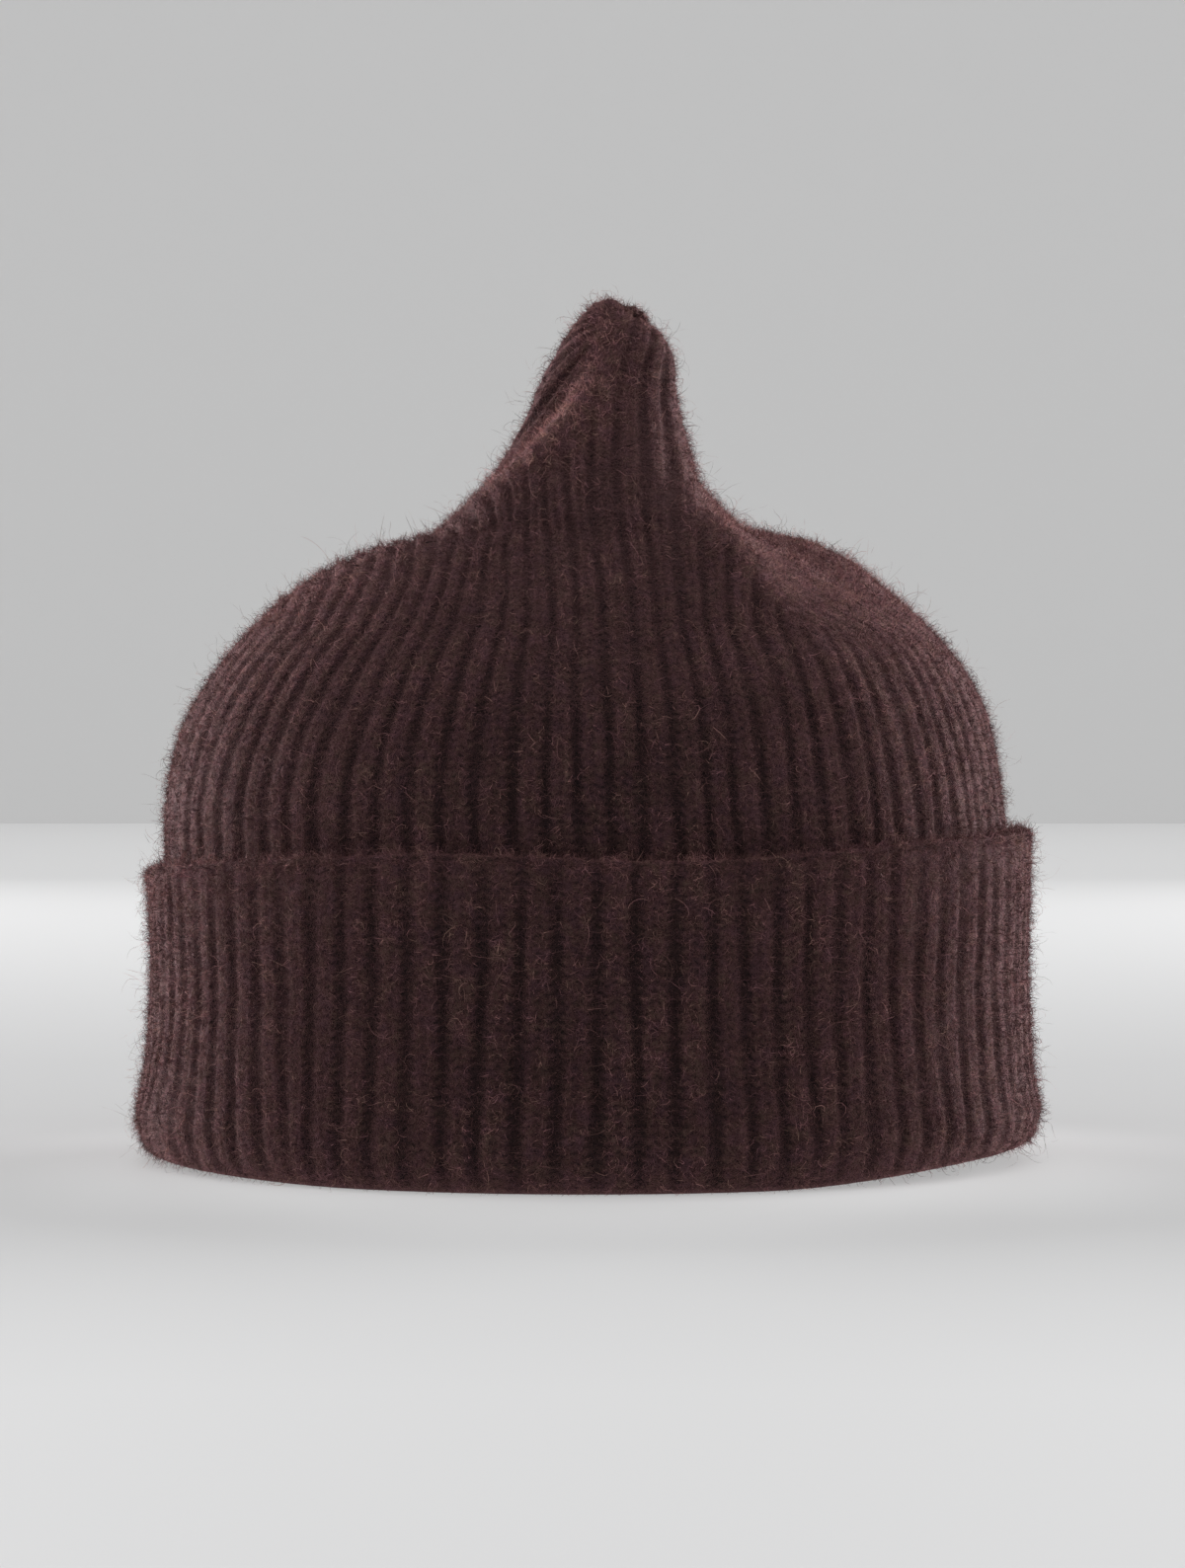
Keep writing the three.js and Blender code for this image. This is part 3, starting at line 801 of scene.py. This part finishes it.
def fibrePiece(name, groups):
    # every fibre of the piece in one mesh
    places, index, shades, start = [], [], [], 0
    for corners, faces, shade in groups:
        count, each = corners.shape[:2]
        places.append(corners.reshape(-1, 3))
        index.append((start + np.arange(count)[:, None] * each + faces).ravel())
        shades.append(np.repeat(shade, each))
        start += count * each
    places, index = np.concatenate(places), np.concatenate(index)
    places[:, 2] = np.maximum(places[:, 2], 0.03)  # none goes into the table
    mesh = bpy.data.meshes.new(name)
    mesh.vertices.add(len(places))
    mesh.vertices.foreach_set("co", (places * metre).ravel())
    mesh.loops.add(len(index))
    mesh.loops.foreach_set("vertex_index", index)
    mesh.polygons.add(len(index) // 3)
    mesh.polygons.foreach_set("loop_start", np.arange(0, len(index), 3))
    keepValues(mesh, "shade", np.concatenate(shades))
    mesh.update(calc_edges=True)
    piece = bpy.data.objects.new(name, mesh)
    bpy.context.scene.collection.objects.link(piece)
    return piece


def growNap(pieceName, pointOn, spotsFor, steps, counts, low, high):
    groups = []
    for name, count in counts.items():
        kind = dict(zip(hairMeasures, hairKinds[name]))
        first, second, crowd, course = spotsFor(count * 3, low, high)
        here, frames, phase, relief, area = surfaceFrame(pointOn, first, second, *steps)
        chance = (nap["grooveKept"] + (1 - nap["grooveKept"]) * relief) * area / crowd
        kept = np.argpartition(draw.exponential(1, len(first)) / chance, count)[:count]
        frames = [vectors[kept] for vectors in frames]
        stitch = stitchAt(phase, course)[kept]
        groups.append(fibres(here[kept], frames, stitch, relief[kept], kind))
    return fibrePiece(pieceName, groups)


def crownSpots(count, low, high):
    # places spread evenly over the crown's area, between two azimuths
    levels = np.linspace(crown["shownFrom"], lastSection - 0.02, 3000)
    path, radius = crownMean(np.zeros_like(levels), levels)
    run = np.linalg.norm(np.diff(path, axis=0), axis=1)
    area = np.concatenate([[0], np.cumsum(run * (radius[1:] + 0.3))])
    level = np.interp(draw.uniform(0, area[-1], count), area, levels)
    crowd = np.interp(level, levels, np.gradient(area, levels))
    return draw.uniform(low, high, count), level, crowd, crownCourse(level)


def cuffSpots(count, low, high):
    levels = np.linspace(cuff["napFrom"], len(cuffOutside) - 1.02, 3000)
    far = lengthAlong(cuffProfile(levels))
    level = np.interp(draw.uniform(0, far[-1], count), far, levels)
    crowd = np.interp(level, levels, np.gradient(far, levels))
    return draw.uniform(low, high, count), level, crowd, cuffCourse(level)


def edgeSpots(count, low, high):
    tilt = draw.uniform(*edge["napTilts"], count)
    return draw.uniform(low, high, count), tilt, 1, tilt


def nubSpots(count, low, high):
    level = draw.uniform(*nub["napLevels"], count)
    return draw.uniform(low, high, count), level, 1, 2 * level


# Materials

def newMaterial(name, inputs):
    # a material whose shader has some plain values set
    material = bpy.data.materials.new(name)
    material.use_nodes = True
    tree = material.node_tree
    shader = tree.nodes["Principled BSDF"]
    for key, value in inputs.items():
        shader.inputs[key].default_value = value
    return material, tree.nodes, tree.links, shader


def addNode(nodes, kind, inputs=None, **settings):
    made = nodes.new(kind)
    for key, value in settings.items():
        setattr(made, key, value)
    for key, value in (inputs or {}).items():
        made.inputs[key].default_value = value
    return made


def makeWoolGroup():
    # colour, roughness and height of brushed wool knitted in ribs, from the rib relief and the knit map;
    # the colour holds painted shade, dark in the grooves and between the rows of stitches
    group = bpy.data.node_groups.new("brushedRibKnit", "ShaderNodeTree")
    for side, kind, names in (
        ("INPUT", "Color", ("Rib Colour", "Groove Colour", "Melange Colour")),
        ("OUTPUT", "Color", ("Colour",)),
        ("OUTPUT", "Float", ("Roughness", "Height")),
    ):
        for name in names:
            group.interface.new_socket(name, in_out=side, socket_type="NodeSocket" + kind)
    nodes, links = group.nodes, group.links

    def maths(operation, a, b=None):
        made = addNode(nodes, "ShaderNodeMath", operation=operation)
        for place, value in enumerate((a, b)):
            if isinstance(value, (int, float)):
                made.inputs[place].default_value = value
            elif value is not None:
                links.new(value, made.inputs[place])
        return made.outputs[0]

    def noise(vector, scale, detail, rough=0.5, swirl=0.0):
        values = {"Scale": scale, "Detail": detail, "Roughness": rough, "Distortion": swirl}
        made = addNode(nodes, "ShaderNodeTexNoise", values)
        links.new(vector, made.inputs["Vector"])
        return made.outputs["Fac"]

    def ranged(value, low, high, to=(0, 1)):
        limits = {"From Min": low, "From Max": high, "To Min": to[0], "To Max": to[1]}
        made = addNode(nodes, "ShaderNodeMapRange", limits, interpolation_type="SMOOTHSTEP")
        links.new(value, made.inputs["Value"])
        return made.outputs["Result"]

    def mixed(share, a, b):
        made = addNode(nodes, "ShaderNodeMix", data_type="RGBA")
        for socket, value in ((0, share), (6, a), (7, b)):
            links.new(value, made.inputs[socket])
        return made.outputs[2]

    entry = nodes.new("NodeGroupInput")
    leaving = nodes.new("NodeGroupOutput")
    place = nodes.new("ShaderNodeTexCoord").outputs["Object"]
    relief = addNode(nodes, "ShaderNodeAttribute", attribute_name="ribRelief").outputs["Fac"]
    knitMap = addNode(nodes, "ShaderNodeUVMap", uv_map="knit").outputs["UV"]
    split = nodes.new("ShaderNodeSeparateXYZ")
    links.new(knitMap, split.inputs[0])

    # each rib is two columns of stitches; a stitch's legs rise outwards from its middle
    wale = maths("FRACT", maths("MULTIPLY", split.outputs["X"], 2))
    fromWale = maths("MULTIPLY", maths("ABSOLUTE", maths("SUBTRACT", wale, 0.5)), 2)
    course = maths("SUBTRACT", split.outputs["Y"], maths("MULTIPLY", fromWale, legRise))
    stitch = maths("ABSOLUTE", maths("SINE", maths("MULTIPLY", course, math.pi)))
    melange = noise(place, 900, 3, 0.6)
    tufts = noise(place, 230, 2)
    fuzz = noise(place, 2600, 3, 0.7)

    # fine curling hairs: the lines where swirled noise passes its middle value
    hairs = None
    for scale, swirl in ((520, 1.6), (830, 1.4), (1300, 1.2)):
        off = maths("ABSOLUTE", maths("SUBTRACT", noise(place, scale, 1, 0.5, swirl), 0.5))
        line = ranged(off, 0, 0.045, (1, 0))
        hairs = maths("MAXIMUM", hairs, line) if hairs else line

    # painted shade: where the rib relief is low, ragged along the rows of stitches, the wool takes the dark
    # groove colour and shows fewer flecks
    uneven = maths("MULTIPLY", maths("SUBTRACT", melange, 0.5), 0.9)
    ragged = maths("ADD", uneven, maths("MULTIPLY", maths("SUBTRACT", stitch, 0.6), 0.42))
    ribNotShaded = ranged(maths("ADD", relief, ragged), 0.2, 1)
    body = mixed(ribNotShaded, entry.outputs["Groove Colour"], entry.outputs["Rib Colour"])
    bright = ranged(tufts, 0.3, 0.7, (0.3, 0.9))
    flecks = maths("MULTIPLY", maths("MAXIMUM", ranged(fuzz, 0.5, 0.8), hairs), bright)
    shown = maths("ADD", maths("MULTIPLY", ribNotShaded, 0.82), 0.18)
    flecked = mixed(maths("MULTIPLY", flecks, shown), body, entry.outputs["Melange Colour"])
    dyed = nodes.new("ShaderNodeHueSaturation")
    links.new(ranged(noise(place, 290, 3, 0.65), 0.35, 0.65, (0.472, 0.528)), dyed.inputs["Hue"])
    links.new(flecked, dyed.inputs["Color"])
    links.new(dyed.outputs["Color"], leaving.inputs["Colour"])
    links.new(ranged(melange, 0.3, 0.7, (0.86, 1.0)), leaving.inputs["Roughness"])
    knitted = maths("MULTIPLY", stitch, 0.12)
    fluffy = maths("ADD", maths("MULTIPLY", melange, 0.5), maths("MULTIPLY", hairs, 0.22))
    links.new(maths("ADD", knitted, fluffy), leaving.inputs["Height"])
    return group


woolGroup = makeWoolGroup()


def makeWool(name, ribColour, grooveShadeColour, melangeColour):
    material, nodes, links, shader = newMaterial(name, {
        "Specular IOR Level": 0.15,
        "Sheen Weight": 0.38,
        "Sheen Roughness": 0.45,
        "Sheen Tint": (0.9, 0.42, 0.43, 1),
    })
    wool = addNode(nodes, "ShaderNodeGroup", node_tree=woolGroup)
    # the groove colour is painted shade for the grooves' hollows
    for key, colour in (("Rib", ribColour), ("Groove", grooveShadeColour), ("Melange", melangeColour)):
        wool.inputs[key + " Colour"].default_value = (*colour, 1)
    bumps = addNode(nodes, "ShaderNodeBump", {"Strength": 0.8, "Distance": 0.0007})
    links.new(wool.outputs["Colour"], shader.inputs["Base Color"])
    links.new(wool.outputs["Roughness"], shader.inputs["Roughness"])
    links.new(wool.outputs["Height"], bumps.inputs["Height"])
    links.new(bumps.outputs["Normal"], shader.inputs["Normal"])
    return material


def makeFibre(name, dark, middling, light):
    # single hairs, each with its own shade
    material, nodes, links, shader = newMaterial(name, {
        "Roughness": 0.8,
        "Specular IOR Level": 0.2,
        "Sheen Weight": 0.5,
        "Sheen Tint": (1, 0.47, 0.46, 1),
    })
    shade = addNode(nodes, "ShaderNodeAttribute", attribute_name="shade")
    ramp = nodes.new("ShaderNodeValToRGB")
    ramp.color_ramp.elements[0].color = (*dark, 1)
    ramp.color_ramp.elements[1].color = (*light, 1)
    ramp.color_ramp.elements.new(0.5).color = (*middling, 1)
    links.new(shade.outputs["Fac"], ramp.inputs["Fac"])
    place = nodes.new("ShaderNodeTexCoord")
    patches = addNode(nodes, "ShaderNodeTexNoise", {"Scale": 290, "Detail": 3, "Roughness": 0.65})
    limits = {"From Min": 0.35, "From Max": 0.65, "To Min": 0.47, "To Max": 0.53}
    hues = addNode(nodes, "ShaderNodeMapRange", limits)
    dyed = nodes.new("ShaderNodeHueSaturation")
    links.new(place.outputs["Object"], patches.inputs["Vector"])
    links.new(patches.outputs["Fac"], hues.inputs["Value"])
    links.new(hues.outputs["Result"], dyed.inputs["Hue"])
    links.new(ramp.outputs["Color"], dyed.inputs["Color"])
    links.new(dyed.outputs["Color"], shader.inputs["Base Color"])
    return material


# The knit's colours: on the ribs, the painted shade of the grooves, and the flecks; the edge and the nub
# have their own
bodyColours = (0.037, 0.0165, 0.018), (0.004, 0.0022, 0.0027), (0.13, 0.068, 0.064)
crownWool = makeWool("crownWool", *bodyColours)
cuffWool = makeWool("cuffWool", *bodyColours)
edgeWool = makeWool("edgeWool", (0.038, 0.017, 0.0185), (0.009, 0.0045, 0.005), (0.12, 0.062, 0.058))
nubWool = makeWool("nubWool", (0.035, 0.016, 0.0175), (0.006, 0.0033, 0.004), (0.1, 0.053, 0.05))
napWool = makeFibre("napWool", (0.004, 0.002, 0.0024), (0.096, 0.04, 0.0435), (0.53, 0.27, 0.25))


def finishPiece(piece, material, node):
    piece.data.materials.clear()
    piece.data.materials.append(material)
    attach(piece, "root")
    if node:
        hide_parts(node)
    faces = sum(len(face.vertices) - 2 for face in piece.data.polygons)
    print(piece.name, faces, "triangles")


crownPiece = makeCrown()
finishPiece(crownPiece, crownWool, "crown")
cuffPiece = makeCuff()
finishPiece(cuffPiece, cuffWool, "cuff")
edgePiece = makeCuffEdge()
finishPiece(edgePiece, edgeWool, "cuff_edge")
nubPiece = makeTipNub()
finishPiece(nubPiece, nubWool, "tip_gather")

fineSteps = (0.2, 0.02)  # azimuth and section over which the cloth's directions are measured
crownNap, cuffNap = [], []
for side, low, high in (("Front", -90, 90), ("Back", 90, 270)):
    piece = growNap("crownNap" + side, crownPoint, crownSpots, fineSteps, nap["crown"], low, high)
    finishPiece(piece, napWool, None)
    crownNap.append(piece)
    piece = growNap("cuffNap" + side, cuffPoint, cuffSpots, fineSteps, nap["cuff"], low, high)
    finishPiece(piece, napWool, None)
    cuffNap.append(piece)

edgeNap = growNap("edgeNap", edgePoint, edgeSpots, (0.2, 0.05), nap["edge"], -180, 180)
finishPiece(edgeNap, napWool, None)
cuffNap.append(edgeNap)
nubNap = growNap("nubNap", nubPoint, nubSpots, (2, 0.02), nap["nub"], -180, 180)
finishPiece(nubNap, napWool, None)
crownNap.append(nubNap)

# The table, the backdrop and the lights, in metres
studio = {
    "tableFrom": -4.0,
    "tableTo": 7.59,
    "halfWidth": 8.0,
    "backdropHeight": 5.0,
    "world": 0.545,
    "footGlow": {"middle": (0.005, -0.016, 0), "size": (0.078, 0.0865, 1), "reach": 1.9, "power": 1.6},
    "sky": {"strength": 0.72, "angle": 70, "tilt": 32},  # soft light from above, a little from behind
    "sideLamp": {
        "azimuth": 132, "elevation": 4, "distance": 3.0, "width": 2.2, "height": 0.6,
        "spread": 80, "power": 40, "aimedAt": 0.08,
    },
}


def stagePlane(name, ends, colour, roughness, glow):
    # ends: y and z of its two edges. glow: painted light, the plane's own glow near the camera, far behind
    # and round the hat's foot, which keeps the stage even and lifts the hat's shadow round its foot
    plane = newPrimitive(name, bpy.ops.mesh.primitive_plane_add, size=1)
    corners = [(side * studio["halfWidth"], *end) for end in ends for side in (-1, 1)]
    for vertex, corner in zip(plane.data.vertices, corners):
        vertex.co = corner
    material, nodes, links, shader = newMaterial(name, {
        "Base Color": (*colour, 1),
        "Roughness": roughness,
        "Specular IOR Level": 0.1,
        "Emission Color": (1, 1, 1, 1),
    })
    place = nodes.new("ShaderNodeTexCoord").outputs["Object"]
    split = nodes.new("ShaderNodeSeparateXYZ")
    links.new(place, split.inputs[0])
    foot = studio["footGlow"]
    ellipse = {"Location": foot["middle"], "Scale": foot["size"]}
    around = addNode(nodes, "ShaderNodeMapping", ellipse, vector_type="TEXTURE")
    links.new(place, around.inputs["Vector"])
    away = addNode(nodes, "ShaderNodeVectorMath", operation="LENGTH")
    links.new(around.outputs["Vector"], away.inputs[0])
    total = None
    for source, start, end, power, strength in (
        (split.outputs["Y"], 0.1, -0.35, 1, glow[0]),
        (split.outputs["Y"], 0.3, 2.5, 1, glow[1]),
        (away.outputs["Value"], foot["reach"], 1, foot["power"], glow[2]),
    ):
        fade = addNode(nodes, "ShaderNodeMapRange", {"From Min": start, "From Max": end})
        links.new(source, fade.inputs["Value"])
        shaped = addNode(nodes, "ShaderNodeMath", {1: power}, operation="POWER")
        links.new(fade.outputs["Result"], shaped.inputs[0])
        share = addNode(nodes, "ShaderNodeMath", {1: strength, 2: 0}, operation="MULTIPLY_ADD")
        links.new(shaped.outputs[0], share.inputs[0])
        if total:
            links.new(total, share.inputs[2])
        total = share.outputs[0]
    links.new(total, shader.inputs["Emission Strength"])
    plane.data.materials.append(material)


far = studio["tableTo"]
stagePlane("table", [(studio["tableFrom"], 0), (far, 0)], (0.532, 0.532, 0.536), 0.6, (0.17, 0.27, 0.28))
stagePlane("backdrop", [(far, -0.5), (far, studio["backdropHeight"])], (0.7, 0.7, 0.7), 0.9, (0, 0.125, 0))

scene = bpy.context.scene
scene.view_settings.view_transform = "Standard"
world = bpy.data.worlds.new("studioWorld")
scene.world = world
world.use_nodes = True
sky = world.node_tree.nodes["Background"]
sky.inputs["Color"].default_value = (1, 1, 1, 1)
sky.inputs["Strength"].default_value = studio["world"]


def placeInScene(data, place, turned, **settings):
    # a lamp or a camera with its settings
    for key, value in settings.items():
        setattr(data, key, value)
    placed = bpy.data.objects.new(data.name, data)
    placed.location = place
    placed.rotation_euler = turned
    scene.collection.objects.link(placed)
    return placed


def addSideLamp(name, side):
    lamp = studio["sideLamp"]
    turn, rise = math.radians(side * lamp["azimuth"]), math.radians(lamp["elevation"])
    distance = lamp["distance"]
    place = (
        distance * math.sin(turn) * math.cos(rise),
        -distance * math.cos(turn) * math.cos(rise),
        distance * math.sin(rise) + lamp["aimedAt"],
    )
    placeInScene(
        bpy.data.lights.new(name, "AREA"), place, (math.pi / 2 - rise, 0, turn),
        shape="RECTANGLE", size=lamp["width"], size_y=lamp["height"],
        spread=math.radians(lamp["spread"]), energy=lamp["power"],
    )


above = studio["sky"]
placeInScene(
    bpy.data.lights.new("skyLamp", "SUN"), (0, 1, 3), (-math.radians(above["tilt"]), 0, 0),
    energy=above["strength"], angle=math.radians(above["angle"]),
)
addSideLamp("rightLamp", 1)
addSideLamp("leftLamp", -1)

# The camera's place in millimetres, its focal length in pixels of the frame's height
view = {"x": 0.83, "distance": 900, "height": 78.4, "focal": 4329, "framePixels": 1588, "sensor": 36}
scene.camera = placeInScene(
    bpy.data.cameras.new("camera"),
    (view["x"] * metre, -view["distance"] * metre, view["height"] * metre), (math.pi / 2, 0, 0),
    lens=view["focal"] * view["sensor"] / view["framePixels"], sensor_width=view["sensor"], clip_end=100,
)
